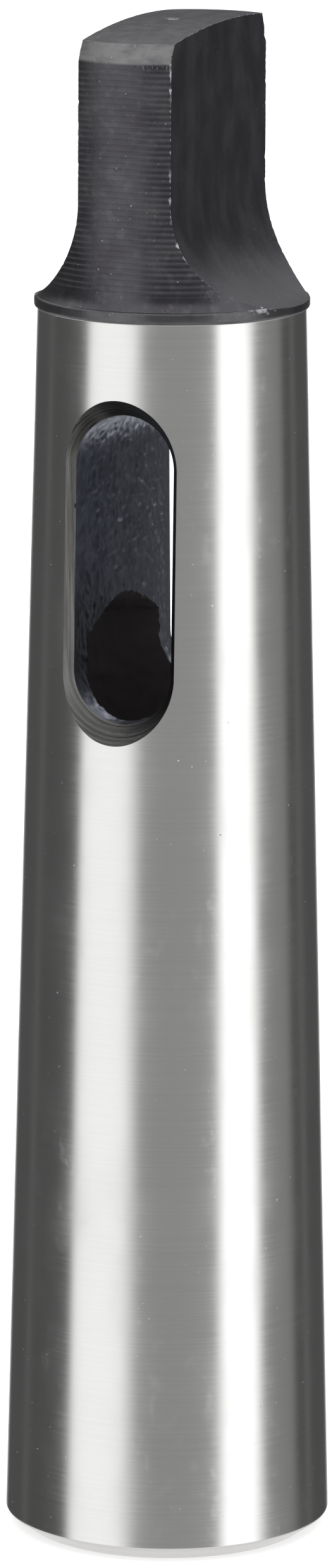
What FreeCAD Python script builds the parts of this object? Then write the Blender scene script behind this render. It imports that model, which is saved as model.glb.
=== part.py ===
# Morse taper sleeve, one piece of hardened steel.
#
# The outside is a No. 3 Morse taper shank with a flatted tang, the inside a No. 2 Morse taper
# socket.  A drift slot crosses the sleeve where the socket ends.  The sleeve stands on its large
# end: the origin is the middle of that face, +Z runs up the axis to the tang, the drift slot
# opens along Y and the two flats of the tang face +X and -X.  Millimetres.
import FreeCAD, Part
import math
import os
import Sketcher

V = FreeCAD.Vector
doc = FreeCAD.newDocument("morse_taper_sleeve")

# ---- driving dimensions --------------------------------------------------------------------
SIZES = [
    # shank: No. 3 Morse taper
    ("gauge_diameter", 23.825, "diameter of the shank at its gauge line"),
    ("shank_taper", 0.050196, "shank taper, mm of diameter for each mm of length"),
    ("gauge_height", 12.5, "gauge line above the large end face"),
    ("foot_chamfer_width", 1.38, "chamfer round the large end, measured across"),
    ("foot_chamfer_height", 1.07, "chamfer round the large end, measured up"),
    # socket: No. 2 Morse taper
    ("mouth_diameter", 17.78, "socket diameter at the large end face"),
    ("socket_taper", 0.04995, "socket taper, mm of diameter for each mm of depth"),
    ("mouth_chamfer", 0.5, "chamfer round the socket mouth"),
    ("bore_depth", 68.7, "full-diameter depth of the bore"),
    ("relief_length", 8.7, "parallel relief at the inner end of the taper"),
    ("relief_step", 0.31, "relief cut below the small end of the socket taper"),
    ("drill_point", 118.0, "included angle left by the drill"),
    # drift slot
    ("slot_width", 7.74, "drift slot across"),
    ("slot_length", 22.8, "drift slot along the axis, end to end"),
    ("slot_overlap", 5.77, "length of the bore that the slot opens"),
    ("slot_bevel_depth", 1.7, "depth of the bevel round the slot, under the taper"),
    ("slot_bevel_angle", 38.0, "bevel leans outwards by this angle"),
    ("slot_web", 6.92, "solid shank between the slot and the end of the ground taper"),
    # rim left where grinding stops
    ("rim_height", 0.9, "height of the unground rim"),
    ("rim_stand", 0.25, "rim stands proud of the ground taper"),
    ("rim_lead", 0.25, "height of the slope under the rim"),
    ("rim_round", 0.2, "rounding of the top edge of the rim"),
    # tang
    ("tang_length", 21.15, "end of the ground taper to the tip"),
    ("tang_step", 0.35, "tang is turned this far under the small end of the taper"),
    ("shoulder_fillet", 1.5, "fillet between the rim and the tang"),
    ("tang_thickness", 7.3, "tang across its flats"),
    ("flat_length", 12.6, "straight length of the flats, from the tip"),
    ("run_out_radius", 8.0, "radius of the cutter that ends the flats"),
    ("end_chamfer_width", 0.65, "lead round the end of the tang, measured across"),
    ("end_chamfer_height", 1.4, "lead round the end of the tang, measured up"),
    ("dome_height", 0.95, "crown of the end face"),
    ("cutter_clearance", 1.0, "cutters start this far outside the steel"),
]
# ---- dimensions that follow from them ------------------------------------------------------
DERIVED = [
    ("base_radius", "(gauge_diameter + shank_taper * (gauge_height - foot_chamfer_height)) / 2",
     "largest radius"),
    ("foot_radius", "base_radius - foot_chamfer_width", "flat ring that the sleeve stands on"),
    ("slot_start", "bore_depth - slot_overlap", "lower end of the slot"),
    ("slot_end", "slot_start + slot_length", "upper end of the slot"),
    ("ground_end", "slot_end + slot_web", "top of the ground taper"),
    ("ground_end_radius", "(gauge_diameter - shank_taper * (ground_end - gauge_height)) / 2",
     "radius where the ground taper stops"),
    ("rim_radius", "ground_end_radius + rim_stand", "outside of the rim"),
    ("rim_top", "ground_end + rim_height", "top of the rim"),
    ("tang_radius", "ground_end_radius - tang_step", "turned radius of the tang"),
    ("fillet_foot_radius", "rim_radius - rim_round", "where the shoulder fillet meets the rim"),
    ("fillet_top", "rim_top + sqrt(shoulder_fillet ^ 2 - (shoulder_fillet - fillet_foot_radius"
     " + tang_radius) ^ 2)", "where the shoulder fillet meets the tang"),
    ("overall_length", "ground_end + tang_length", "large end face to tip"),
    ("dome_edge_height", "overall_length - dome_height", "edge of the domed end"),
    ("dome_edge_radius", "tang_radius - end_chamfer_width", "edge of the domed end"),
    ("dome_radius", "(dome_edge_radius ^ 2 + dome_height ^ 2) / (2 * dome_height)",
     "radius of the domed end"),
    ("half_tang", "tang_thickness / 2", "flat from the axis"),
    ("flat_end", "overall_length - flat_length", "where the flats start to run out"),
    ("relief_start", "bore_depth - relief_length", "depth of the socket taper"),
    ("taper_end_radius", "(mouth_diameter - socket_taper * relief_start) / 2",
     "small end of the socket taper"),
    ("relief_radius", "taper_end_radius + relief_step", "parallel relief"),
    ("drill_tip", "bore_depth + relief_radius / tan(drill_point / 2 * 1 deg)", "tip of the drill"),
    ("half_slot", "slot_width / 2", "slot wall from the axis"),
    ("slot_middle", "(slot_start + slot_end) / 2", "middle of the slot"),
    ("slot_surface", "(gauge_diameter - shank_taper * (slot_middle - gauge_height)) / 2",
     "taper radius at the middle of the slot"),
    ("bevel_floor", "slot_surface - slot_bevel_depth", "floor of the bevel from the axis"),
    ("taper_lean", "atan(shank_taper / 2) / 1 deg", "lean of the shank's side"),
    ("cutter_reach", "base_radius + run_out_radius", "far side of the cut beside a flat"),
    ("cutter_top", "overall_length + cutter_clearance", "where the flat cutter enters"),
]

sheet = doc.addObject("Spreadsheet::Sheet", "sizes")
sheet.Label = "sizes"


def write_row(row, alias, content, note):
    sheet.set("A%d" % row, alias)
    sheet.set("B%d" % row, content)
    sheet.set("C%d" % row, note)
    sheet.setAlias("B%d" % row, alias)


for row, (alias, value, note) in enumerate(SIZES, start=1):
    write_row(row, alias, "%g" % value, note)
for row, (alias, formula, note) in enumerate(DERIVED, start=len(SIZES) + 1):
    write_row(row, alias, "=" + formula, note)
doc.recompute()

# ---- sketch helpers ------------------------------------------------------------------------
body = doc.addObject("PartDesign::Body", "taper_sleeve")
body.Label = "taper_sleeve"
planes = {feature.Role: feature for feature in body.Origin.OriginFeatures}


def value_of(formula):
    result = body.evalExpression(formula)
    return float(getattr(result, "Value", result))


def new_sketch(name):
    """Sketch on the upright plane through the axis: its x is radius, its y is height."""
    sketch = body.newObject("Sketcher::SketchObject", name)
    sketch.AttachmentSupport = [(planes["XZ_Plane"], "")]
    sketch.MapMode = "FlatFace"
    return sketch


def bind(sketch, constraint, name, formula):
    index = sketch.addConstraint(constraint)
    sketch.renameConstraint(index, name)
    sketch.setExpression("Constraints." + name, formula)


def hold(sketch, edge, end, name, across, up):
    """Holds one end of an edge at the radius and height that two formulas give, or at zero."""
    origin, level_axis, upright_axis = -1, -1, -2
    ways = (("DistanceX", "_across", across, upright_axis), ("DistanceY", "_up", up, level_axis))
    for kind, suffix, formula, axis in ways:
        if formula == "0":
            sketch.addConstraint(Sketcher.Constraint("PointOnObject", edge, end, axis))
        else:
            held = Sketcher.Constraint(kind, origin, 1, edge, end, value_of(formula))
            bind(sketch, held, name + suffix, formula)


def draw_arc(sketch, start, end, radius, turn):
    """Arc from start to end, turn +1 anticlockwise and -1 clockwise, its shorter way round."""
    chord = end - start
    left = V(-chord.y, chord.x, 0).normalize() * turn
    sink = math.sqrt(max(radius ** 2 - (chord.Length / 2) ** 2, 0.0))
    middle = (start + end) * 0.5 + left * (sink - radius)
    return sketch.addGeometry(Part.Arc(start, middle, end), False)


def draw_outline(sketch, corners):
    """Closed outline.  A corner is (name, across, up), or (name, across, up, radius, turn)
    where the edge that leaves it is an arc."""
    spots = [V(value_of(corner[1]), value_of(corner[2]), 0) for corner in corners]
    edges = []
    for i, corner in enumerate(corners):
        start, end = spots[i], spots[(i + 1) % len(spots)]
        if len(corner) == 3:
            edge = sketch.addGeometry(Part.LineSegment(start, end), False)
            edges.append((edge, 1, 2))
        else:
            edge = draw_arc(sketch, start, end, value_of(corner[3]), corner[4])
            edges.append((edge, 1, 2) if corner[4] > 0 else (edge, 2, 1))
    for i, corner in enumerate(corners):
        edge, first, _ = edges[i]
        before, _, last = edges[i - 1]
        sketch.addConstraint(Sketcher.Constraint("Coincident", before, last, edge, first))
        hold(sketch, edge, first, corner[0], corner[1], corner[2])
        if len(corner) == 5:
            curve = Sketcher.Constraint("Radius", edge, value_of(corner[3]))
            bind(sketch, curve, corner[0] + "_radius", corner[3])


def draw_slot(sketch, half_width, low, high):
    """Upright slot centred on the axis, with round ends centred at the heights low and high."""
    origin, upright_axis = -1, -2
    wide, bottom, top = (value_of(formula) for formula in (half_width, low, high))
    upper = sketch.addGeometry(
        Part.Arc(V(wide, top, 0), V(0, top + wide, 0), V(-wide, top, 0)), False)
    left = sketch.addGeometry(Part.LineSegment(V(-wide, top, 0), V(-wide, bottom, 0)), False)
    lower = sketch.addGeometry(
        Part.Arc(V(-wide, bottom, 0), V(0, bottom - wide, 0), V(wide, bottom, 0)), False)
    right = sketch.addGeometry(Part.LineSegment(V(wide, bottom, 0), V(wide, top, 0)), False)
    ring = [upper, left, lower, right]
    for before, after in zip(ring, ring[1:] + ring[:1]):
        sketch.addConstraint(Sketcher.Constraint("Tangent", before, 2, after, 1))
    for arc, name, formula in ((lower, "lower_end", low), (upper, "upper_end", high)):
        sketch.addConstraint(Sketcher.Constraint("PointOnObject", arc, 3, upright_axis))
        held = Sketcher.Constraint("DistanceY", origin, 1, arc, 3, value_of(formula))
        bind(sketch, held, name, formula)
    bind(sketch, Sketcher.Constraint("Radius", upper, wide), "half_width", half_width)


def finish_feature(feature, grows):
    """Recomputes and makes sure that the feature added or took away metal."""
    before = feature.BaseFeature.Shape.Volume if feature.BaseFeature else 0.0
    doc.recompute()
    change = feature.Shape.Volume - before
    if (change > 0) != grows or abs(change) < 1e-3:
        raise RuntimeError("%s changed the volume by %.3f" % (feature.Name, change))
    body.Tip = feature
    doc.recompute()


def mirror(name, feature, plane):
    copy = body.newObject("PartDesign::Mirrored", name)
    copy.Originals = [feature]
    copy.MirrorPlane = (planes[plane], [""])
    body.Tip = copy
    doc.recompute()
    if abs(copy.Shape.Volume - feature.Shape.Volume) < 1e-3:
        raise RuntimeError("%s changed nothing" % name)


# ---- turned blank: foot chamfer, ground taper, rim, shoulder, tang, domed end -----------------
blank = new_sketch("blank_outline")
draw_outline(blank, [
    ("foot_centre", "0", "0"),
    ("foot_edge", "sizes.foot_radius", "0"),
    ("taper_start", "sizes.base_radius", "sizes.foot_chamfer_height"),
    ("taper_finish", "sizes.ground_end_radius", "sizes.ground_end"),
    ("rim_low", "sizes.rim_radius", "sizes.ground_end + sizes.rim_lead"),
    ("rim_high", "sizes.rim_radius", "sizes.rim_top - sizes.rim_round", "sizes.rim_round", 1),
    ("rim_edge", "sizes.fillet_foot_radius", "sizes.rim_top", "sizes.shoulder_fillet", -1),
    ("tang_start", "sizes.tang_radius", "sizes.fillet_top"),
    ("lead_start", "sizes.tang_radius", "sizes.overall_length - sizes.dome_height"
     " - sizes.end_chamfer_height"),
    ("dome_edge", "sizes.dome_edge_radius", "sizes.dome_edge_height", "sizes.dome_radius", 1),
    ("tip", "0", "sizes.overall_length"),
])
turning = body.newObject("PartDesign::Revolution", "turned_blank")
turning.Profile = blank
turning.ReferenceAxis = (blank, ["V_Axis"])
turning.Angle = 360
finish_feature(turning, grows=True)

# ---- socket: mouth chamfer, No. 2 taper, relief, drill point ----------------------------------
socket = new_sketch("socket_outline")
draw_outline(socket, [
    ("mouth_centre", "0", "0"),
    ("mouth_edge", "sizes.mouth_diameter / 2 + sizes.mouth_chamfer", "0"),
    ("taper_mouth", "(sizes.mouth_diameter - sizes.socket_taper * sizes.mouth_chamfer) / 2",
     "sizes.mouth_chamfer"),
    ("taper_end", "sizes.taper_end_radius", "sizes.relief_start"),
    ("relief_low", "sizes.relief_radius", "sizes.relief_start"),
    ("relief_high", "sizes.relief_radius", "sizes.bore_depth"),
    ("drill_tip", "0", "sizes.drill_tip"),
])
boring = body.newObject("PartDesign::Groove", "taper_socket")
boring.Profile = socket
boring.ReferenceAxis = (socket, ["V_Axis"])
boring.Angle = 360
finish_feature(boring, grows=False)

# ---- tang flats: straight cheeks that run out on the radius of the cutter ---------------------
cheek = new_sketch("flat_outline")
draw_outline(cheek, [
    ("flat_top", "sizes.half_tang", "sizes.cutter_top"),
    ("flat_finish", "sizes.half_tang", "sizes.flat_end", "sizes.run_out_radius", 1),
    ("run_out_end", "sizes.half_tang + sizes.run_out_radius",
     "sizes.flat_end - sizes.run_out_radius"),
    ("reach_low", "sizes.cutter_reach", "sizes.flat_end - sizes.run_out_radius"),
    ("reach_high", "sizes.cutter_reach", "sizes.cutter_top"),
])
flat = body.newObject("PartDesign::Pocket", "tang_flat")
flat.Profile = cheek
flat.Type = "ThroughAll"
flat.SideType = "Symmetric"
finish_feature(flat, grows=False)
mirror("tang_flats", flat, "YZ_Plane")

# ---- drift slot, right through, with its ends round -------------------------------------------
opening = new_sketch("slot_outline")
LOW_END = "sizes.slot_start + sizes.half_slot"
HIGH_END = "sizes.slot_end - sizes.half_slot"
draw_slot(opening, "sizes.half_slot", LOW_END, HIGH_END)
slot = body.newObject("PartDesign::Pocket", "drift_slot")
slot.Profile = opening
slot.Type = "ThroughAll"
slot.SideType = "Symmetric"
finish_feature(slot, grows=False)

# ---- bevel round both mouths of the slot, at an even depth under the taper --------------------
edge = new_sketch("bevel_outline")
edge.AttachmentOffset = FreeCAD.Placement(V(0, 0, 0), FreeCAD.Rotation(V(1, 0, 0), -1))
edge.setExpression("AttachmentOffset.Base.y", "sizes.slot_middle")
edge.setExpression("AttachmentOffset.Base.z", "sizes.bevel_floor")
edge.setExpression("AttachmentOffset.Rotation.Angle", "-sizes.taper_lean")
doc.recompute()
draw_slot(edge, "sizes.half_slot", "sizes.half_slot - sizes.slot_length / 2",
          "sizes.slot_length / 2 - sizes.half_slot")
bevel = body.newObject("PartDesign::Pocket", "slot_bevel")
bevel.Profile = edge
bevel.Type = "Length"
bevel.setExpression("Length", "sizes.slot_bevel_depth + sizes.cutter_clearance")
bevel.setExpression("TaperAngle", "sizes.slot_bevel_angle")
bevel.Reversed = True
finish_feature(bevel, grows=False)
mirror("slot_bevels", bevel, "XZ_Plane")

# ---- check and write --------------------------------------------------------------------------
doc.recompute()
for item in doc.Objects:
    if "Invalid" in item.State or "Error" in item.State:
        raise RuntimeError("%s failed: %s" % (item.Name, item.State))
shape = body.Shape
if shape.isNull() or not shape.isValid() or len(shape.Solids) != 1:
    raise RuntimeError("taper_sleeve is not one valid solid")
box = shape.BoundBox
print("taper_sleeve %.2f x %.2f x %.2f mm, %.1f mm3, %d faces"
      % (box.XLength, box.YLength, box.ZLength, shape.Volume, len(shape.Faces)))
os.makedirs("parts", exist_ok=True)
shape.exportStep("parts/%s.step" % body.Label)
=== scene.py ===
import math

import bmesh
import bpy
from mathutils import Matrix, Vector, noise


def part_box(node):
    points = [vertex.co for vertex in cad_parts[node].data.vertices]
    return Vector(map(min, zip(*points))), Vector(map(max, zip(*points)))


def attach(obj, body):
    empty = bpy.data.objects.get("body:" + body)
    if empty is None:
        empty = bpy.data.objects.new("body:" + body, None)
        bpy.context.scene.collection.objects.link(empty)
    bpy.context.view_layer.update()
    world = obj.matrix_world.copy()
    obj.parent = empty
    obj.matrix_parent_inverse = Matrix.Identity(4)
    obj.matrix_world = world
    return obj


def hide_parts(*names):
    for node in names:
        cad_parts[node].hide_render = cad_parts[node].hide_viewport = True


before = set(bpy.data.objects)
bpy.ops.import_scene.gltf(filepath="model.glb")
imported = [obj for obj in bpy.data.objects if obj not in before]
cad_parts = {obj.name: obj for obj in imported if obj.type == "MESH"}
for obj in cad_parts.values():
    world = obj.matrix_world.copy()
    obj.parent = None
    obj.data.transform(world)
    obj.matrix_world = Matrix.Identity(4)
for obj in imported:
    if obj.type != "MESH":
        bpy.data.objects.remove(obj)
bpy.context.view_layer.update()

# ---- turned blank ----------------------------------------------------------------------------
# One bar of tool steel, turned to the foot chamfer, the shank taper, a rim and the tang, with
# the feed marks of the tool left on the tang.  All lengths here are millimetres, and the finished
# mesh is brought to metres at the end.
MM = 0.001
low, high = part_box("taper_sleeve")
OVERALL_LENGTH = (high.z - low.z) / MM
BASE_RADIUS = (high.x - low.x) / 2 / MM
TAPER_LEAN = 0.025098
FOOT_CHAMFER = (1.38, 1.07)
FOOT_EDGE = 0.12
GROUND_END = OVERALL_LENGTH - 21.15
GROUND_END_RADIUS = BASE_RADIUS - TAPER_LEAN * (GROUND_END - FOOT_CHAMFER[1])
RIM_STAND = 0.25
RIM_HEIGHT = 0.9
RIM_CORNER = 0.2
TANG_RADIUS = GROUND_END_RADIUS - 0.35
SHOULDER_FILLET = 1.5
LEAD = (0.65, 1.4)
DOME_HEIGHT = 0.95
CROWN = 0.56
END_RISE = 0.76
DIMPLE = (0.5, 0.14)
FEED = 0.425
FEED_DEPTH = 0.045
POINTS_PER_MARK = 6
STEPS_ROUND = 360
SKIN = 0.012  # the turned surface lies this far inside the solid's


def arc_points(centre, radius, start, end, count):
    """Points on an arc in the profile plane, angles in degrees, ends included."""
    turns = [math.radians(start + (end - start) * i / count) for i in range(count + 1)]
    return [(centre[0] + radius * math.cos(t), centre[1] + radius * math.sin(t)) for t in turns]


def straight(start, end, count):
    """Points between two profile points, without the first."""
    return [(start[0] + (end[0] - start[0]) * i / count,
             start[1] + (end[1] - start[1]) * i / count) for i in range(1, count + 1)]


def feed_marks(radius, bottom, top):
    """Scallops that a round-nosed tool leaves, cusps at the turned radius."""
    points = []
    height = bottom
    while height < top - FEED:
        depth = FEED_DEPTH * (0.88 + 0.24 * noise.random())
        width = FEED * (0.97 + 0.06 * noise.random())
        for i in range(1, POINTS_PER_MARK + 1):
            t = i / POINTS_PER_MARK
            points.append((radius - depth * (1 - (2 * t - 1) ** 2), height + width * t))
        height += width
    return points


def mesh_from(bm, name):
    """Mesh of a finished bmesh, which is freed."""
    mesh = bpy.data.meshes.new(name)
    bm.to_mesh(mesh)
    bm.free()
    return mesh


def placed(name, data):
    """Links a new object for this mesh or camera into the scene."""
    piece = bpy.data.objects.new(name, data)
    bpy.context.scene.collection.objects.link(piece)
    return piece


def spin_profile(points, name, steps):
    """Closed surface of revolution about Z through (radius, height) points."""
    bm = bmesh.new()
    verts = [bm.verts.new((r, 0, z)) for r, z in points]
    edges = [bm.edges.new(pair) for pair in zip(verts, verts[1:])]
    bmesh.ops.spin(bm, geom=verts + edges, cent=(0, 0, 0), axis=(0, 0, 1), angle=math.tau,
                   steps=steps, use_merge=True)
    bmesh.ops.remove_doubles(bm, verts=bm.verts, dist=1e-5)
    bmesh.ops.recalc_face_normals(bm, faces=bm.faces)
    return placed(name, mesh_from(bm, name))


def closed_piece(name, verts, faces):
    """Object from corner points and faces that enclose a volume, normals outward."""
    mesh = bpy.data.meshes.new(name)
    mesh.from_pydata(verts, [], faces)
    bm = bmesh.new()
    bm.from_mesh(mesh)
    bmesh.ops.recalc_face_normals(bm, faces=bm.faces)
    bm.to_mesh(mesh)
    bm.free()
    return placed(name, mesh)


noise.seed_set(7)
rim_radius = GROUND_END_RADIUS + RIM_STAND
rim_top = GROUND_END + RIM_HEIGHT
fillet_foot = (rim_radius - RIM_CORNER, rim_top)
fillet_centre_x = TANG_RADIUS + SHOULDER_FILLET
fillet_rise = math.sqrt(SHOULDER_FILLET ** 2 - (fillet_centre_x - fillet_foot[0]) ** 2)
fillet_centre = (fillet_centre_x, rim_top + fillet_rise)
lead_bottom = OVERALL_LENGTH - DOME_HEIGHT - LEAD[1]
dome_edge = (TANG_RADIUS - LEAD[0], OVERALL_LENGTH - DOME_HEIGHT)
dome_radius = (dome_edge[0] ** 2 + CROWN ** 2) / (2 * CROWN)
crown_top = OVERALL_LENGTH - DOME_HEIGHT + CROWN
dome_angle = math.degrees(math.asin(dome_edge[0] / dome_radius))

foot_radius = BASE_RADIUS - FOOT_CHAMFER[0]
profile = [(0, 0), (foot_radius - FOOT_EDGE, 0)]
profile += arc_points((foot_radius - FOOT_EDGE, FOOT_EDGE), FOOT_EDGE, -90, -38, 4)[1:]
profile += straight(profile[-1], (BASE_RADIUS - 0.1, FOOT_CHAMFER[1] - 0.07), 6)
profile += [(BASE_RADIUS - 0.03, FOOT_CHAMFER[1] + 0.02), (BASE_RADIUS - SKIN, FOOT_CHAMFER[1] + 0.12)]
profile += straight(profile[-1], (GROUND_END_RADIUS - SKIN, GROUND_END - 0.03), 44)
profile += [(GROUND_END_RADIUS + 0.06, GROUND_END + 0.02), (rim_radius - 0.05, GROUND_END + 0.14)]
profile += [(rim_radius - SKIN, GROUND_END + 0.25), (rim_radius - SKIN, rim_top - 0.26)]
profile += arc_points((rim_radius - RIM_CORNER - SKIN, rim_top - RIM_CORNER), RIM_CORNER, 0, 90, 6)[1:]
profile += arc_points(fillet_centre, SHOULDER_FILLET,
                      180 + math.degrees(math.asin(fillet_rise / SHOULDER_FILLET)), 180, 9)[1:]
profile += feed_marks(TANG_RADIUS, fillet_centre[1], lead_bottom)
profile += [(TANG_RADIUS - 0.02, lead_bottom)]
profile += straight(profile[-1], dome_edge, 8)
profile += arc_points((0, crown_top - dome_radius), dome_radius, 90 - dome_angle + 0.5, 90, 14)
# The tool left a small ragged dimple at the centre of the end.
profile = [point for point in profile if point[1] < crown_top - 0.1 or point[0] > DIMPLE[0] + 0.1]
profile += [(DIMPLE[0], crown_top - 0.01), (DIMPLE[0] - 0.08, crown_top - 0.05),
            (DIMPLE[0] * 0.5, crown_top - DIMPLE[1]), (0, crown_top - DIMPLE[1] * 0.8)]
sleeve = spin_profile(profile, "sleeve", STEPS_ROUND)

# ---- socket ------------------------------------------------------------------------------------
# Bored and reamed to the No. 2 taper from the large end, with a relief and the drill's point.
# Past the taper the bore is left a little ragged.
MOUTH_RADIUS = 8.89
MOUTH_CHAMFER = 0.5
SOCKET_LEAN = 0.024975
RELIEF_START = 60.0
BORE_DEPTH = 68.7
RELIEF_RADIUS = 7.7
DRILL_RISE = RELIEF_RADIUS / math.tan(math.radians(59))

chamfer_edge = MOUTH_RADIUS + MOUTH_CHAMFER
bore = [(0, -1), (chamfer_edge + 1, -1)]
bore += [(MOUTH_RADIUS - SOCKET_LEAN * MOUTH_CHAMFER, MOUTH_CHAMFER)]
bore += straight(bore[-1], (MOUTH_RADIUS - SOCKET_LEAN * RELIEF_START, RELIEF_START), 12)
bore += [(RELIEF_RADIUS, RELIEF_START + 0.1)]
bore += straight(bore[-1], (RELIEF_RADIUS, BORE_DEPTH), 24)
bore += straight(bore[-1], (0, BORE_DEPTH + DRILL_RISE), 20)
socket_cutter = spin_profile(bore, "socket_cutter", 160)
for vert in socket_cutter.data.vertices:
    if vert.co.z > RELIEF_START + 1:
        ragged = noise.noise(vert.co * 1.6) * 0.10 + noise.noise(vert.co * 4.5) * 0.07
        radial = Vector((vert.co.x, vert.co.y, 0))
        if radial.length > 0.5:
            vert.co += radial.normalized() * ragged
        vert.co.z += ragged

# ---- tang flats --------------------------------------------------------------------------------
# Two cheeks milled down the tang, which fit the spindle's own slot and turn the sleeve with it.
# The cutter leaves them on its own radius above the rim.
HALF_TANG = 3.65
FLAT_END = OVERALL_LENGTH - 12.6
RUN_OUT = 8.0
BLOCK_SIDE = HALF_TANG + RUN_OUT + 6
HALF_BLOCK = 15


def flat_cutter(side):
    """Block that takes away everything outside one flat and its run-out."""
    outline = [(HALF_TANG, OVERALL_LENGTH + 2)]
    outline += arc_points((HALF_TANG + RUN_OUT, FLAT_END), RUN_OUT, 180, 270, 40)
    outline += [(BLOCK_SIDE, FLAT_END - RUN_OUT), (BLOCK_SIDE, OVERALL_LENGTH + 2)]
    bm = bmesh.new()
    ring = [bm.verts.new((side * x, -HALF_BLOCK, z)) for x, z in outline]
    sheet = bm.faces.new(ring)
    grown = bmesh.ops.extrude_face_region(bm, geom=[sheet])["geom"]
    moved = [item for item in grown if isinstance(item, bmesh.types.BMVert)]
    bmesh.ops.translate(bm, verts=moved, vec=(0, 2 * HALF_BLOCK, 0))
    bmesh.ops.recalc_face_normals(bm, faces=bm.faces)
    return placed("flat_cutter", mesh_from(bm, "flat_cutter"))


flat_cutters = [flat_cutter(1), flat_cutter(-1)]

# ---- drift slot --------------------------------------------------------------------------------
# The slot that the drift is knocked through to push a tool out of the socket.
# Milled right across by an end mill that tore the walls, then bevelled on both sides.
HALF_SLOT = 3.87
SLOT_START = 62.93
SLOT_END = 85.73
BEVEL_DEPTH = 1.7
BEVEL_SPREAD = math.tan(math.radians(38))
SLOT_GRAIN = 0.165
BEVEL_ROWS = 16
BEVEL_REACH = 1.25
HALF_WALL = 9


def slot_ring():
    """Points round the slot as (x, z, outward x, outward z), evenly spaced."""
    low_z, high_z = SLOT_START + HALF_SLOT, SLOT_END - HALF_SLOT
    turn_count = round(math.pi * HALF_SLOT / SLOT_GRAIN)
    side_count = round((high_z - low_z) / SLOT_GRAIN)
    ring = []
    for i in range(turn_count):
        t = math.pi * i / turn_count
        ring.append((HALF_SLOT * math.cos(t), high_z + HALF_SLOT * math.sin(t), math.cos(t), math.sin(t)))
    for i in range(side_count):
        ring.append((-HALF_SLOT, high_z + (low_z - high_z) * i / side_count, -1, 0))
    for i in range(turn_count):
        t = math.pi * (1 + i / turn_count)
        ring.append((HALF_SLOT * math.cos(t), low_z + HALF_SLOT * math.sin(t), math.cos(t), math.sin(t)))
    for i in range(side_count):
        ring.append((HALF_SLOT, low_z + (high_z - low_z) * i / side_count, 1, 0))
    return ring


def slot_floor(z):
    """Distance from the axis to the floor of the bevel at this height."""
    return BASE_RADIUS - TAPER_LEAN * (z - FOOT_CHAMFER[1]) - BEVEL_DEPTH


def torn(x, y, z):
    """Depth of the torn, chattered milling marks on the slot walls."""
    sway = noise.noise(Vector((x, y * 0.5, z * 0.4)))
    lumps = abs(noise.noise(Vector((x * 1.4, y * 1.3 + z * 0.9, z * 1.5 - y * 0.4))))
    tears = abs(noise.noise(Vector((x + 9, y * 2.6 - z * 0.5, z * 1.3))))
    fine = noise.noise(Vector((x, y, z)) * 4.3)
    return 0.07 * sway - 0.16 * lumps - 0.09 * tears + 0.02 * fine


ring = slot_ring()
rows = [(-1, 3.2), (-1, 2.6)]
rows += [(-1, BEVEL_DEPTH * (BEVEL_REACH - BEVEL_REACH * i / BEVEL_ROWS)) for i in range(BEVEL_ROWS + 1)]
wall_count = round(2 * HALF_WALL / SLOT_GRAIN)
rows += [(1 - 2 * (wall_count - i) / wall_count, None) for i in range(1, wall_count)]
rows += [(1, BEVEL_DEPTH * BEVEL_REACH * i / BEVEL_ROWS) for i in range(BEVEL_ROWS + 1)]
rows += [(1, 2.6), (1, 3.2)]
verts, faces, wall_rows = [], [], []
for number, (share, rise) in enumerate(rows):
    wall_rows.append(rise is None)
    for x, z, out_x, out_z in ring:
        depth = slot_floor(z)
        if rise is None:
            y = depth * share
            push = torn(x, y, z) * min(1.0, (1 - abs(share)) * 7) + 0.02 * (1 - abs(share))
        else:
            mark = 0.004 * math.sin(number * 2.4) + 0.008 * noise.noise(Vector((x, z, number)))
            y = share * (depth + rise)
            push = rise * BEVEL_SPREAD + (mark if rise > 0.01 else 0.0)
        verts.append((x + out_x * push, y, z + out_z * push))
count = len(ring)
for number in range(len(rows) - 1):
    start = number * count
    for i in range(count):
        j = (i + 1) % count
        faces.append((start + i, start + j, start + count + j, start + count + i))
wall_faces = [wall_rows[number] or wall_rows[number + 1] for number in range(len(rows) - 1)]
slot_cutter = closed_piece("slot_cutter", verts, faces + [tuple(range(count)),
                           tuple(range(len(verts) - count, len(verts)))])

# ---- worn edges --------------------------------------------------------------------------------
# The blacking is rubbed through and nicked along the edges of the tang's flats, more of it
# near the end, where the tang enters the spindle.
WEAR_STEP = 0.09
WEAR_STATIONS = 240
END_STATIONS = 170
WEAR_WIDTH = 0.6


def tang_radius(z):
    """Turned radius of the tang, its shoulder and its lead at this height."""
    if z < fillet_centre[1]:
        drop = min(fillet_centre[1] - z, fillet_rise)
        return fillet_centre[0] - math.sqrt(SHOULDER_FILLET ** 2 - drop ** 2)
    if z > lead_bottom:
        return TANG_RADIUS - LEAD[0] * (z - lead_bottom) / LEAD[1]
    return TANG_RADIUS


def edge_station(z, side, front):
    """Point on a flat's long edge, and the direction that halves the corner there."""
    drop = min(max(FLAT_END - z, 0.0), RUN_OUT)
    x = HALF_TANG + RUN_OUT - math.sqrt(RUN_OUT ** 2 - drop ** 2)
    radius = tang_radius(z)
    if x > radius - 0.02:
        return None
    y = math.sqrt(radius ** 2 - x ** 2)
    flat_way = Vector(((HALF_TANG + RUN_OUT - x) * side, 0, drop)) / RUN_OUT
    round_way = Vector((x * side, y * front, 0)) / radius
    return Vector((x * side, y * front, z)), flat_way, round_way


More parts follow.
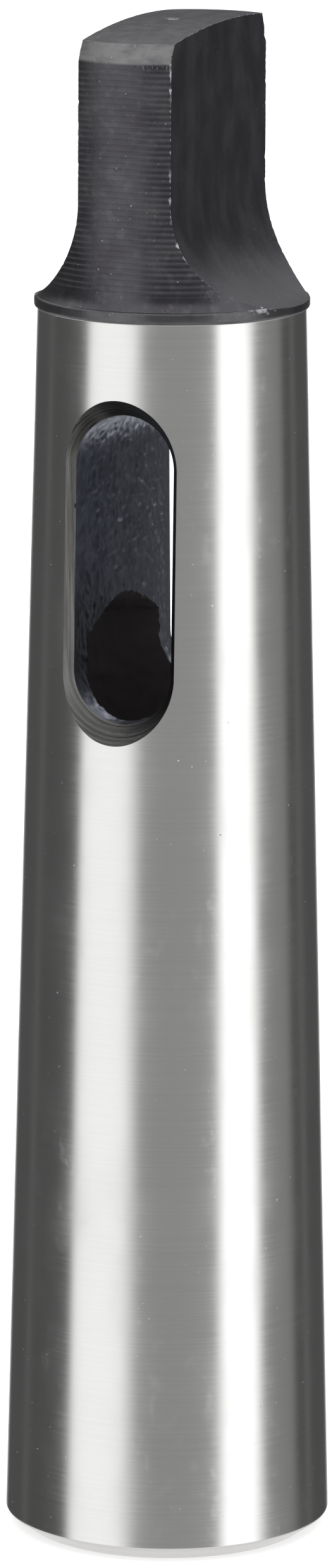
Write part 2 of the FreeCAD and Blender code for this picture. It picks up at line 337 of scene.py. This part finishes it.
def shaving(name, stations, widths):
    """Ragged strip along an edge that takes the corner off to each station's width."""
    verts, faces = [], []
    for i, ((spot, one_way, other_way), width) in enumerate(zip(stations, widths)):
        before, after = stations[max(i - 1, 0)][0], stations[min(i + 1, len(stations) - 1)][0]
        way = (one_way + other_way).normalized()
        depth = width / 2 * math.tan(one_way.angle(other_way) / 2)
        across_way = way.cross((after - before).normalized()) * WEAR_WIDTH
        inner = spot - way * depth
        outer = spot + way * 0.8
        verts += [inner + across_way, inner - across_way, outer - across_way, outer + across_way]
    for i in range(len(stations) - 1):
        for k in range(4):
            m = (k + 1) % 4
            faces.append((4 * i + k, 4 * i + m, 4 * i + 4 + m, 4 * i + 4 + k))
    last = 4 * (len(stations) - 1)
    return closed_piece(name, verts, faces + [(0, 1, 2, 3), (last, last + 1, last + 2, last + 3)])


wear_cutters = []
for side in (1, -1):
    for front in (-1, 1):
        heights = [rim_top + 0.05 + WEAR_STEP * i for i in range(WEAR_STATIONS)]
        stations = [edge_station(z, side, front) for z in heights if z < dome_edge[1] + 0.3]
        stations = [station for station in stations if station]
        widths = []
        for spot, _, _ in stations:
            rubbed = 0.055 + 0.04 * noise.noise(spot * 0.9) + 0.03 * noise.noise(spot * 6.0)
            nicked = max(0.0, noise.noise(spot * 2.6) - 0.12) * 0.35
            upper = 0.07 if lead_bottom - 3.0 < spot.z < lead_bottom + 0.6 else 0.0
            fresh = rubbed + nicked + upper * (1 + noise.noise(spot * 4.0))
            widths.append(max(0.012, fresh) * min(1.0, max(0.08, (spot.z - rim_top - 0.6) / 2.0)))
        wear_cutters.append(shaving("edge_wear", stations, widths))
    stations, widths = [], []
    span = math.sqrt(dome_edge[0] ** 2 - HALF_TANG ** 2)
    for i in range(END_STATIONS):
        y = -span + 2 * span * i / (END_STATIONS - 1)
        z = crown_top - dome_radius + math.sqrt(dome_radius ** 2 - HALF_TANG ** 2 - y ** 2)
        rise_way = Vector((HALF_TANG * side, y, z - crown_top + dome_radius)) / dome_radius
        spot = Vector((HALF_TANG * side, y, z))
        stations.append((spot, Vector((side, 0, 0)), rise_way))
        nicked = max(0.0, noise.noise(spot * 2.7) - 0.2) * 0.3
        widths.append(max(0.01, 0.03 + 0.03 * noise.noise(spot * 1.3) + nicked))
    wear_cutters.append(shaving("end_wear", stations, widths))

# ---- nicks -------------------------------------------------------------------------------------
# Knocks from use: a row of cutter nicks under the lead, dents on the tang, the rim and the taper.
# Each is an angle from the front, to the right, a height, and its width, length and depth.
NICKS = [(6.5 + 2.05 * i, 111.32 + 0.05 * math.sin(2.3 * i), 0.13, 0.42 + 0.08 * math.sin(4 * i), 0.06)
         for i in range(8)]
NICKS += [(9.0 + 2.2 * math.sin(3 * i), 98.6 + 0.43 * i, 0.09, 0.2 + 0.1 * math.sin(5 * i), 0.035)
          for i in range(12)]
NICKS += [(14.5, 102.9, 0.1, 0.14, 0.05), (8.6, 101.2, 0.12, 0.1, 0.05), (20.4, 107.2, 0.22, 0.3, 0.07),
          (-19.0, 105.4, 0.1, 0.12, 0.05), (62.0, 93.3, 0.5, 0.12, 0.05), (66.5, 93.2, 0.35, 0.16, 0.05),
          (71.0, 93.35, 0.3, 0.1, 0.04), (-12.0, 93.5, 0.25, 0.1, 0.04), (31.5, 92.72, 0.5, 0.07, 0.05),
          (36.0, 92.7, 0.3, 0.08, 0.05), (40.5, 92.71, 0.6, 0.06, 0.05), (21.0, 92.7, 0.35, 0.06, 0.04),
          (150.0, 93.3, 0.4, 0.14, 0.06), (205.0, 93.2, 0.5, 0.12, 0.05), (262.0, 93.4, 0.3, 0.1, 0.05)]
NICKS += [(78.0, 89.9, 0.10, 0.3, 0.02), (80.5, 89.2, 0.07, 0.2, 0.02), (-9.5, 82.6, 0.08, 0.22, 0.02),
          (47.0, 63.4, 0.07, 0.12, 0.02), (43.5, 55.1, 0.22, 0.07, 0.02), (66.0, 37.0, 0.08, 0.1, 0.02),
          (59.0, 11.5, 0.06, 0.12, 0.02), (75.0, 14.9, 0.07, 0.09, 0.02), (120.0, 40.0, 0.1, 0.3, 0.02),
          (200.0, 70.0, 0.3, 0.1, 0.02), (245.0, 30.0, 0.1, 0.2, 0.02), (300.0, 55.0, 0.2, 0.1, 0.02)]


def skin_radius(z):
    """Radius of the outside at this height."""
    if z < GROUND_END:
        return BASE_RADIUS - TAPER_LEAN * (z - FOOT_CHAMFER[1]) - SKIN
    return rim_radius - SKIN if z < rim_top else tang_radius(z)


verts, faces = [], []
for degrees, z, nick_width, nick_length, nick_depth in NICKS:
    way = Vector((math.sin(math.radians(degrees)), -math.cos(math.radians(degrees)), 0))
    sideways = Vector((-way.y, way.x, 0))
    centre = way * skin_radius(z) + Vector((0, 0, z))
    start = len(verts)
    lean = sideways * noise.noise(centre * 7) * 0.5
    tall = Vector((0, 0, nick_length / 2)) + lean * nick_length
    verts += [centre - way * nick_depth, centre + way * 0.3]
    verts += [centre + sideways * nick_width / 2, centre + tall, centre - sideways * nick_width / 2,
              centre - tall]
    for k in range(4):
        here, following = start + 2 + k, start + 2 + (k + 1) % 4
        faces += [(start, here, following), (start + 1, following, here)]
nick_cutter = closed_piece("nicks", verts, faces)

# ---- finishes ----------------------------------------------------------------------------------
# Bare ground steel on the taper, black oxide on the tang, and torn, milled, rubbed or oily metal
# where the sleeve was cut or worn.  Marks are drawn out along the way that the tool or wheel went.
def node(tree, kind, settings=None, **inputs):
    """Adds a shader node; an input is a plain value or another node's output socket."""
    made = tree.nodes.new("ShaderNode" + kind)
    for key, value in (settings or {}).items():
        setattr(made, key, value)
    for key, value in inputs.items():
        socket = made.inputs[int(key[1:]) if key[1:].isdigit() else key.replace("_", " ")]
        if isinstance(value, bpy.types.NodeSocket):
            tree.links.new(value, socket)
        else:
            socket.default_value = value
    return made


def finish(name, colour, metallic, roughness):
    """Starts a material; returns it with its tree and its Principled shader."""
    material = bpy.data.materials.new(name)
    material.use_nodes = True
    tree = material.node_tree
    shader = tree.nodes["Principled BSDF"]
    shader.inputs["Base Color"].default_value = (*colour, 1)
    shader.inputs["Metallic"].default_value = metallic
    shader.inputs["Roughness"].default_value = roughness
    return material, tree, shader


def stretched(tree, scale, detail=4.0, **size):
    """Noise drawn out or squeezed along the object's axes; scale is lumps per metre."""
    spots = node(tree, "TexCoord").outputs["Object"]
    laid = node(tree, "Mapping", Vector=spots, Scale=scale)
    return node(tree, "TexNoise", Vector=laid.outputs[0], Scale=1.0, Detail=detail, **size).outputs["Fac"]


def between(tree, value, low_in, high_in, low_out=0.0, high_out=1.0):
    """Value eased from one range to another."""
    eased = node(tree, "MapRange", {"interpolation_type": "SMOOTHSTEP"}, _0=value, _1=low_in,
                 _2=high_in, _3=low_out, _4=high_out)
    return eased.outputs[0]


def sums(tree, kind, one, other):
    """Two values or sockets put together by the named kind of sum."""
    return node(tree, "Math", {"operation": kind}, _0=one, _1=other).outputs[0]


def blend(tree, share, one, other):
    """Colour between two colours or sockets."""
    mixed = node(tree, "Mix", {"data_type": "RGBA"}, _0=share)
    for place, colour in ((6, one), (7, other)):
        if isinstance(colour, bpy.types.NodeSocket):
            tree.links.new(colour, mixed.inputs[place])
        else:
            mixed.inputs[place].default_value = (*colour, 1)
    return mixed.outputs[2]


def fade(tree, share, one, other):
    """Brightness between two levels or sockets."""
    return node(tree, "Mix", {"data_type": "FLOAT"}, _0=share, _2=one, _3=other).outputs[0]


def specks(tree, grain, cut):
    """Scattered ragged dots: grain is how many fit in a metre, cut how rare they are."""
    return between(tree, stretched(tree, (grain, grain, grain), 1.5), cut, cut + 0.035)


def relief(tree, shader, *layers):
    """Bump from (height socket, depth in metres) layers."""
    below = None
    for height, depth in layers:
        bump = node(tree, "Bump", Strength=1.0, Distance=depth, Height=height)
        if below:
            tree.links.new(below, bump.inputs["Normal"])
        below = bump.outputs[0]
    tree.links.new(below, shader.inputs["Normal"])


finishes = {}

# Ground taper: fine lines round it from the wheel, clouded by handling, a few scuffs and specks.
finishes["ground_steel"], tree, shader = finish("ground_steel", (0.66, 0.655, 0.64), 1.0, 0.2)
shader.inputs["Anisotropic"].default_value = 0.72
tree.links.new(node(tree, "Tangent", {"direction_type": "RADIAL", "axis": "Z"}).outputs[0],
               shader.inputs["Tangent"])
lines = stretched(tree, (35, 35, 9000), 5.0)
clouds = stretched(tree, (230, 230, 150), 8.0)
smears = between(tree, stretched(tree, (900, 900, 620), 7.0), 0.56, 0.68)
smears = sums(tree, "MULTIPLY", smears, between(tree, stretched(tree, (120, 120, 70), 2.0), 0.46, 0.62))
dots = specks(tree, 3600, 0.775)
worn = sums(tree, "ADD", between(tree, lines, 0.3, 0.7, 0.15, 0.165),
            between(tree, clouds, 0.35, 0.75, 0.0, 0.05))
worn = sums(tree, "ADD", worn, sums(tree, "MULTIPLY", smears, 0.035))
tree.links.new(sums(tree, "ADD", worn, sums(tree, "MULTIPLY", dots, 0.3)), shader.inputs["Roughness"])
tone = blend(tree, between(tree, lines, 0.25, 0.75), (0.65, 0.65, 0.64), (0.672, 0.672, 0.662))
tone = blend(tree, sums(tree, "MULTIPLY", smears, 0.14), tone, (0.75, 0.75, 0.76))
tree.links.new(blend(tree, dots, tone, (0.92, 0.92, 0.94)), shader.inputs["Base Color"])
relief(tree, shader, (lines, 0.00000018), (smears, 0.0000004))

# Large end face and its chamfers: turned, with fine rings.
finishes["satin_steel"], tree, shader = finish("satin_steel", (0.66, 0.65, 0.64), 1.0, 0.3)
rings = stretched(tree, (60, 60, 14000), 4.0)
tree.links.new(between(tree, rings, 0.3, 0.7, 0.24, 0.36), shader.inputs["Roughness"])
relief(tree, shader, (rings, 0.000003))

# Blacked steel, turned: the salt bath leaves it deep grey. Its colour is lighter at the lead, where it was
# rubbed, and on the rim's band, as a painted sheen.
finishes["black_oxide"], tree, shader = finish("black_oxide", (0.07, 0.068, 0.076), 0.9, 0.36)
mottle = stretched(tree, (420, 420, 300), 8.0)
rub = between(tree, stretched(tree, (1300, 1300, 1300), 6.0), 0.5, 0.72)
height = node(tree, "SeparateXYZ", _0=node(tree, "TexCoord").outputs["Object"]).outputs["Z"]
lead = between(tree, height, (lead_bottom - 0.12) * MM, (lead_bottom + 0.1) * MM)
# Painted sheen: the rim's band is lightened in the colour to stand in for the shine that light gives it
# there; the lighter lead is rubbed metal.
rim = between(tree, height, (rim_top + 0.1) * MM, (rim_top - 0.2) * MM)
rubbed_lead_and_rim_sheen = sums(tree, "MAXIMUM", lead, sums(tree, "MULTIPLY", rim, 0.35))
uneven = between(tree, stretched(tree, (700, 700, 1500), 6.0), 0.3, 0.6, 0.45, 1.0)
rubbed_lead_and_rim_sheen = sums(tree, "MULTIPLY", rubbed_lead_and_rim_sheen, uneven)
dots = specks(tree, 5200, 0.745)
tone = blend(tree, between(tree, mottle, 0.3, 0.7), (0.058, 0.055, 0.064), (0.085, 0.084, 0.092))
tone = blend(tree, sums(tree, "MULTIPLY", rub, 0.25), tone, (0.15, 0.15, 0.155))
tone = blend(tree, rubbed_lead_and_rim_sheen, tone, (0.19, 0.188, 0.19))
tree.links.new(blend(tree, dots, tone, (0.42, 0.42, 0.45)), shader.inputs["Base Color"])
tree.links.new(between(tree, mottle, 0.3, 0.75, 0.3, 0.42), shader.inputs["Roughness"])
relief(tree, shader, (stretched(tree, (5200, 5200, 5200), 3.0), 0.000012))

# Blacked flats: milled, duller, sprinkled with pale specks.
finishes["blacked_flat"], tree, shader = finish("blacked_flat", (0.05, 0.049, 0.057), 0.85, 0.42)
mottle = stretched(tree, (500, 500, 260), 8.0)
dots = specks(tree, 5600, 0.72)
tone = blend(tree, between(tree, mottle, 0.3, 0.7), (0.062, 0.060, 0.070), (0.088, 0.087, 0.097))
tree.links.new(blend(tree, dots, tone, (0.22, 0.22, 0.24)), shader.inputs["Base Color"])
tree.links.new(between(tree, mottle, 0.3, 0.75, 0.36, 0.48), shader.inputs["Roughness"])
relief(tree, shader, (stretched(tree, (700, 2600, 700), 4.0), 0.00001),
       (stretched(tree, (6500, 6500, 6500), 3.0), 0.000014))

# End face: blacked over coarse facing marks.
finishes["blacked_end"], tree, shader = finish("blacked_end", (0.06, 0.059, 0.068), 0.85, 0.4)
mottle = stretched(tree, (900, 900, 900), 8.0)
tone = blend(tree, between(tree, mottle, 0.3, 0.7), (0.055, 0.054, 0.063), (0.095, 0.094, 0.104))
tree.links.new(blend(tree, specks(tree, 3800, 0.72), tone, (0.3, 0.3, 0.32)), shader.inputs["Base Color"])
relief(tree, shader, (stretched(tree, (3000, 800, 3000), 4.0), 0.00003))

# Bare metal where the blacking is rubbed off.
finishes["rubbed_edge"], tree, shader = finish("rubbed_edge", (0.2, 0.2, 0.21), 1.0, 0.34)
patches = between(tree, stretched(tree, (1500, 1500, 1500), 5.0), 0.38, 0.66)
tree.links.new(blend(tree, patches, (0.08, 0.08, 0.087), (0.36, 0.36, 0.38)), shader.inputs["Base Color"])
relief(tree, shader, (stretched(tree, (5000, 5000, 5000), 3.0), 0.00003))

# Slot walls: torn by the end mill, blue-grey, with fine lines at each depth of cut.
finishes["torn_wall"], tree, shader = finish("torn_wall", (0.2, 0.215, 0.26), 1.0, 0.36)
depth_lines = stretched(tree, (90, 4200, 90), 5.0)
pits = stretched(tree, (1500, 1300, 1000), 7.0)
tone = blend(tree, between(tree, pits, 0.35, 0.65), (0.24, 0.25, 0.3), (0.34, 0.36, 0.42))
tree.links.new(tone, shader.inputs["Base Color"])
tree.links.new(between(tree, pits, 0.3, 0.7, 0.46, 0.28), shader.inputs["Roughness"])
relief(tree, shader, (depth_lines, 0.00006), (pits, 0.00006))

# Bevel round the slot: cut with a form tool, its lines follow the outline.
finishes["milled_bevel"], tree, shader = finish("milled_bevel", (0.1, 0.098, 0.093), 1.0, 0.32)
depth_lines = stretched(tree, (110, 5200, 110), 5.0)
tone = blend(tree, between(tree, depth_lines, 0.35, 0.68), (0.075, 0.074, 0.071), (0.15, 0.149, 0.145))
tree.links.new(tone, shader.inputs["Base Color"])
relief(tree, shader, (depth_lines, 0.000022), (stretched(tree, (1500, 1500, 900), 4.0), 0.00002))

# Inside of the bore: dark and dull.
finishes["drilled_bore"], tree, shader = finish("drilled_bore", (0.10, 0.087, 0.087), 0.2, 0.55)

# ---- cutting -----------------------------------------------------------------------------------
# The socket, slot and flats are taken out of the blank, and then the worn edges and the nicks.
# Each cutter leaves its own kind of surface.
SHARP_ANGLE = math.radians(32)


def paint(piece, zones, choose):
    """Gives the piece its material slots, and each face the zone that choose(centre) names."""
    for zone in zones:
        piece.data.materials.append(finishes[zone])
    for face in piece.data.polygons:
        face.material_index = zones.index(choose(face.center))


def blank_zone(centre):
    """Finish of the uncut blank at this place."""
    if centre.z < FOOT_CHAMFER[1]:
        return "satin_steel"
    if centre.z < GROUND_END:
        return "ground_steel"
    if centre.z > dome_edge[1]:
        return "blacked_end" if centre.xy.length > DIMPLE[0] else "rubbed_edge"
    return "black_oxide"


paint(sleeve, ["satin_steel", "ground_steel", "black_oxide", "blacked_end", "rubbed_edge"], blank_zone)
paint(socket_cutter, ["drilled_bore", "satin_steel"],
      lambda centre: "satin_steel" if centre.z < MOUTH_CHAMFER else "drilled_bore")
paint(slot_cutter, ["torn_wall", "milled_bevel"], lambda centre: "torn_wall")
for number, wall in enumerate(wall_faces):
    for face in slot_cutter.data.polygons[number * count:(number + 1) * count]:
        face.material_index = 0 if wall else 1
for cutter in flat_cutters:
    paint(cutter, ["blacked_flat"], lambda centre: "blacked_flat")
for cutter in wear_cutters:
    paint(cutter, ["rubbed_edge"], lambda centre: "rubbed_edge")
paint(nick_cutter, ["rubbed_edge"], lambda centre: "rubbed_edge")
cutters = [socket_cutter, slot_cutter, *flat_cutters, *wear_cutters, nick_cutter]

for cutter in cutters:
    cut = sleeve.modifiers.new("cut", "BOOLEAN")
    cut.operation = "DIFFERENCE"
    cut.solver = "EXACT"
    cut.material_mode = "TRANSFER"
    cut.object = cutter
depsgraph = bpy.context.evaluated_depsgraph_get()
mesh = bpy.data.meshes.new_from_object(sleeve.evaluated_get(depsgraph), depsgraph=depsgraph)
sleeve.modifiers.clear()
sleeve.data = mesh
for cutter in cutters:
    bpy.data.objects.remove(cutter)

# The end was faced a little out of square: its far side stands higher than its near side.
for vert in mesh.vertices:
    lifted = (vert.co.z - lead_bottom) / (dome_edge[1] - lead_bottom)
    if lifted > 0:
        far = 0.5 + 0.5 * (vert.co.y + 0.2 * vert.co.x) / dome_edge[0]
        raised = vert.co.z + min(lifted, 1.0) * far * END_RISE
        vert.co.z = min(raised, OVERALL_LENGTH - SKIN)
mesh.transform(Matrix.Scale(MM, 4))
for face in mesh.polygons:
    face.use_smooth = True
mesh.set_sharp_from_angle(angle=SHARP_ANGLE)
# The taper and the flats are true surfaces, so their shading follows the exact form.
names = [material.name for material in mesh.materials]
cone_rise = TAPER_LEAN / math.sqrt(1 + TAPER_LEAN ** 2)
normals = [(0, 0, 0)] * len(mesh.loops)
for face in mesh.polygons:
    kind = names[face.material_index]
    if kind not in ("ground_steel", "blacked_flat"):
        continue
    if kind == "ground_steel" and abs(face.normal.z - cone_rise) > 0.02:
        continue
    for loop_index in face.loop_indices:
        spot = mesh.vertices[mesh.loops[loop_index].vertex_index].co / MM
        if kind == "ground_steel":
            out_way = spot.xy.normalized()
            normals[loop_index] = (out_way.x, out_way.y, cone_rise)
        else:
            side = math.copysign(1.0, spot.x)
            drop = min(max(FLAT_END - spot.z, 0.0), RUN_OUT)
            reach = math.sqrt(RUN_OUT ** 2 - drop ** 2)
            normals[loop_index] = (side * reach / RUN_OUT, 0, drop / RUN_OUT)
mesh.normals_split_custom_set(normals)
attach(sleeve, "root")
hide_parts("taper_sleeve")

# ---- camera ------------------------------------------------------------------------------------
# A long lens a little above table height, looking slightly down on the standing sleeve.
# Its place is given by the angle round the sleeve, the distance from the axis and the height.
AZIMUTH = math.radians(23.5)
DISTANCE = 556.51
CAMERA_HEIGHT = 173.27
AIM_HEIGHT = 56.76
AIM_SIDE = -0.303
ROLL = math.radians(0.241)
FOCAL_LENGTH = 175.3

across = Vector((math.cos(AZIMUTH), math.sin(AZIMUTH), 0))
place = Vector((DISTANCE * math.sin(AZIMUTH), -DISTANCE * math.cos(AZIMUTH), CAMERA_HEIGHT))
ahead = (across * AIM_SIDE + Vector((0, 0, AIM_HEIGHT)) - place).normalized()
right = ahead.cross(Vector((0, 0, 1))).normalized()
up = right.cross(ahead)
right, up = (right * math.cos(ROLL) + up * math.sin(ROLL),
             up * math.cos(ROLL) - right * math.sin(ROLL))
camera_data = bpy.data.cameras.new("camera")
camera_data.lens = FOCAL_LENGTH
camera_data.clip_start = 0.01
camera = placed("camera", camera_data)
turn = Matrix((right, up, -ahead)).transposed().to_4x4()
camera.matrix_world = Matrix.Translation(place * MM) @ turn
bpy.context.scene.camera = camera

# ---- floor -------------------------------------------------------------------------------------
# A pale sheet under the sleeve, lit a little from within so that it runs into the backdrop.
# It stays out of the steel's reflections so that the light bands reach the foot.
HALF_FLOOR = 3
FLOOR_GLOW = 0.45

bm = bmesh.new()
bmesh.ops.create_grid(bm, x_segments=1, y_segments=1, size=HALF_FLOOR)
floor = placed("floor", mesh_from(bm, "floor"))
floor.visible_glossy = False
paper, tree, shader = finish("paper", (0.86, 0.86, 0.86), 0.0, 0.9)
shader.inputs["Specular IOR Level"].default_value = 0.0
ray = node(tree, "LightPath")
tree.links.new(sums(tree, "MULTIPLY", ray.outputs["Is Camera Ray"], FLOOR_GLOW),
               shader.inputs["Emission Strength"])
shader.inputs["Emission Color"].default_value = (1, 1, 1, 1)
floor.data.materials.append(paper)

# ---- light -------------------------------------------------------------------------------------
# Tall soft boxes and dark flags stand round the sleeve; their reflections run up the taper.
# Each stop is an angle from the camera's side, to the right, and the brightness there.
BANDS = [(-180, 0.09), (-128, 0.09), (-123, 0.17), (-118, 0.09),
         (-77, 0.105), (-73, 1.32), (-34, 1.32), (-22, 0.37), (-6, 0.355), (36, 0.38), (41, 1.75),
         (67, 1.75), (75, 0.30), (104, 0.27), (108, 0.09), (118, 0.09), (123, 0.2), (128, 0.09),
         (180, 0.09)]
BACKDROP = 1.0
OVERHEAD = 1.3
UNDER = 0.95
# The overhead and under lights come in between these heights of the direction looked in.
HIGH_UP = (0.26, 0.62)
LOW_DOWN = (-0.34, -0.6)

world = bpy.data.worlds.new("studio")
bpy.context.scene.world = world
world.use_nodes = True
tree = world.node_tree
direction = node(tree, "SeparateXYZ", _0=node(tree, "TexCoord").outputs["Generated"])
angle = sums(tree, "ARCTAN2", direction.outputs["X"], sums(tree, "MULTIPLY", direction.outputs["Y"], -1.0))
turned = sums(tree, "SUBTRACT", angle, AZIMUTH)
wrapped = node(tree, "Math", {"operation": "WRAP"}, _0=turned, _1=math.pi, _2=-math.pi)
share = node(tree, "MapRange", _0=wrapped.outputs[0], _1=-math.pi, _2=math.pi)
ramp = node(tree, "ValToRGB", _0=share.outputs[0])
top_level = max(level for _, level in BANDS)
while len(ramp.color_ramp.elements) > 1:
    ramp.color_ramp.elements.remove(ramp.color_ramp.elements[0])
for number, (degrees, level) in enumerate(BANDS):
    stop = (degrees + 180) / 360
    element = ramp.color_ramp.elements[0] if number == 0 else ramp.color_ramp.elements.new(stop)
    element.position = stop
    element.color = (*[level / top_level] * 3, 1)
banded = sums(tree, "MULTIPLY", ramp.outputs["Color"], top_level)
high_up = between(tree, direction.outputs["Z"], *HIGH_UP)
low_down = between(tree, direction.outputs["Z"], *LOW_DOWN)
spread = node(tree, "Math", {"operation": "ABSOLUTE"}, _0=wrapped.outputs[0])
behind = sums(tree, "MULTIPLY", between(tree, spread.outputs[0], math.radians(164), math.radians(169)),
              between(tree, direction.outputs["Z"], 0.0, -0.06))
capped = fade(tree, high_up, fade(tree, behind, banded, BACKDROP), OVERHEAD)
footed = fade(tree, low_down, capped, UNDER)
seen = fade(tree, node(tree, "LightPath").outputs["Is Camera Ray"], footed, 1.0)
tree.links.new(seen, tree.nodes["Background"].inputs["Strength"])
tree.nodes["Background"].inputs["Color"].default_value = (1, 1, 1, 1)
bpy.context.scene.view_settings.view_transform = "Standard"
